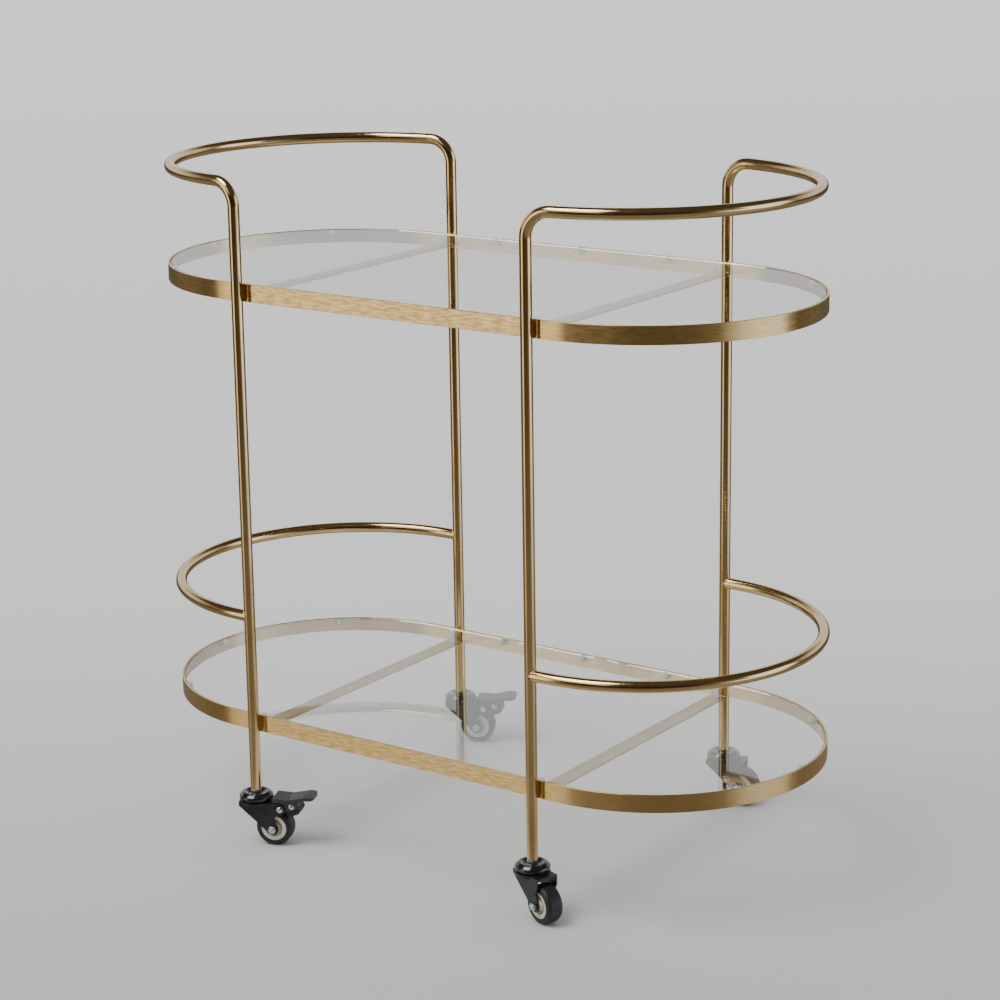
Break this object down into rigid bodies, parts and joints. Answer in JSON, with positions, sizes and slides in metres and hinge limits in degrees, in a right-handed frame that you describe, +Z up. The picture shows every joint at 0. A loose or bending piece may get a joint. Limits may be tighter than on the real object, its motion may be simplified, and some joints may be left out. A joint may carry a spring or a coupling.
{
  "type": "dessert trolley",
  "caption": "Dessert trolley: stadium-shaped glass shelves in flat brass rims on bent brass tube end frames with curved push handles, guard rails and swivel casters",
  "frame": {"origin": "on the floor under the middle of the whole trolley with its casters as stored, which is 9 mm in front of the midpoint of the four legs because the rear left pedal reaches out", "axes": "+X along the length to the end with the plain casters, +Y across to the back, +Z up"},
  "size_m": [1.038, 0.5868, 0.969],
  "materials": {
    "brass_tube": "polished",
    "brass_band": "satin, brushed along the bar",
    "brass_bar": "satin",
    "shelf_glass": "clear, arrised edge",
    "clear_pad": "soft clear plastic",
    "zinc_steel": "bright zinc",
    "gloss_black_steel": "gloss black",
    "matte_black_steel": "matt black",
    "ball_steel": "ground",
    "cream_plastic": "moulded, half matt",
    "black_rubber": "matt",
    "charcoal_steel": "matt charcoal",
    "black_shoe": "matt, toothed"
  },
  "bodies": {
    "trolley": {"left_end_frame": "brass_tube", "right_end_frame": "brass_tube", "left_guard_rail": "brass_tube", "right_guard_rail": "brass_tube", "upper_rim": "brass_band", "lower_rim": "brass_band", "upper_glass": "shelf_glass", "lower_glass": "shelf_glass", "upper_left_crossbar": "brass_bar", "upper_right_crossbar": "brass_bar", "lower_left_crossbar": "brass_bar", "lower_right_crossbar": "brass_bar", "rest_tabs": "brass_bar", "glass_pads": "clear_pad", "saddle_spacers": "brass_bar", "frame_screws": "zinc_steel", "threaded_inserts": "zinc_steel", "tube_plugs": "zinc_steel", "caster_stems": "zinc_steel", "stem_nuts": "zinc_steel", "raceway_caps": "gloss_black_steel", "kingpin_nuts": "zinc_steel"},
    "front_left_swivel": {"front_left_fork": "matte_black_steel", "front_left_ball_ring": "ball_steel", "front_left_axle_bolt": "zinc_steel", "front_left_axle_nut": "zinc_steel", "front_left_wheel_bush": "ball_steel", "front_left_brake_pivot": "zinc_steel"},
    "front_left_wheel": {"front_left_wheel_core": "cream_plastic", "front_left_tyre": "black_rubber"},
    "front_left_brake": {"front_left_brake_pedal": "charcoal_steel", "front_left_brake_shoe": "black_shoe", "front_left_shoe_rivet": "zinc_steel"},
    "rear_left_swivel": {"rear_left_fork": "matte_black_steel", "rear_left_ball_ring": "ball_steel", "rear_left_axle_bolt": "zinc_steel", "rear_left_axle_nut": "zinc_steel", "rear_left_wheel_bush": "ball_steel", "rear_left_brake_pivot": "zinc_steel"},
    "rear_left_wheel": {"rear_left_wheel_core": "cream_plastic", "rear_left_tyre": "black_rubber"},
    "rear_left_brake": {"rear_left_brake_pedal": "charcoal_steel", "rear_left_brake_shoe": "black_shoe", "rear_left_shoe_rivet": "zinc_steel"},
    "front_right_swivel": {"front_right_fork": "matte_black_steel", "front_right_ball_ring": "ball_steel", "front_right_axle_bolt": "zinc_steel", "front_right_axle_nut": "zinc_steel", "front_right_wheel_bush": "ball_steel"},
    "front_right_wheel": {"front_right_wheel_core": "cream_plastic", "front_right_tyre": "black_rubber"},
    "rear_right_swivel": {"rear_right_fork": "matte_black_steel", "rear_right_ball_ring": "ball_steel", "rear_right_axle_bolt": "zinc_steel", "rear_right_axle_nut": "zinc_steel", "rear_right_wheel_bush": "ball_steel"},
    "rear_right_wheel": {"rear_right_wheel_core": "cream_plastic", "rear_right_tyre": "black_rubber"}
  },
  "joints": [
    {"name": "front_left_swivel_turn", "type": "hinge", "parent": "trolley", "child": "front_left_swivel", "pos_m": [-0.242, -0.261, 0.074], "axis": [0, 0, 1], "continuous": true},
    {"name": "front_left_wheel_roll", "type": "hinge", "parent": "front_left_swivel", "child": "front_left_wheel", "pos_m": [-0.21604, -0.25051, 0.027], "axis": [-0.3746, 0.9272, 0], "continuous": true},
    {"name": "front_left_brake_press", "type": "hinge", "parent": "front_left_swivel", "child": "front_left_brake", "pos_m": [-0.20584, -0.24639, 0.057], "axis": [-0.3746, 0.9272, 0], "range_deg": [0, 15]},
    {"name": "rear_left_swivel_turn", "type": "hinge", "parent": "trolley", "child": "rear_left_swivel", "pos_m": [-0.242, 0.243, 0.074], "axis": [0, 0, 1], "continuous": true},
    {"name": "rear_left_wheel_roll", "type": "hinge", "parent": "rear_left_swivel", "child": "rear_left_wheel", "pos_m": [-0.21662, 0.25483, 0.027], "axis": [-0.4226, 0.9063, 0], "continuous": true},
    {"name": "rear_left_brake_press", "type": "hinge", "parent": "rear_left_swivel", "child": "rear_left_brake", "pos_m": [-0.20665, 0.25948, 0.057], "axis": [-0.4226, 0.9063, 0], "range_deg": [0, 15]},
    {"name": "front_right_swivel_turn", "type": "hinge", "parent": "trolley", "child": "front_right_swivel", "pos_m": [0.242, -0.261, 0.074], "axis": [0, 0, 1], "continuous": true},
    {"name": "front_right_wheel_roll", "type": "hinge", "parent": "front_right_swivel", "child": "front_right_wheel", "pos_m": [0.26831, -0.27058, 0.027], "axis": [0.342, 0.9397, 0], "continuous": true},
    {"name": "rear_right_swivel_turn", "type": "hinge", "parent": "trolley", "child": "rear_right_swivel", "pos_m": [0.242, 0.243, 0.074], "axis": [0, 0, 1], "continuous": true},
    {"name": "rear_right_wheel_roll", "type": "hinge", "parent": "rear_right_swivel", "child": "rear_right_wheel", "pos_m": [0.26928, 0.2493, 0.027], "axis": [-0.225, 0.9744, 0], "continuous": true}
  ]
}
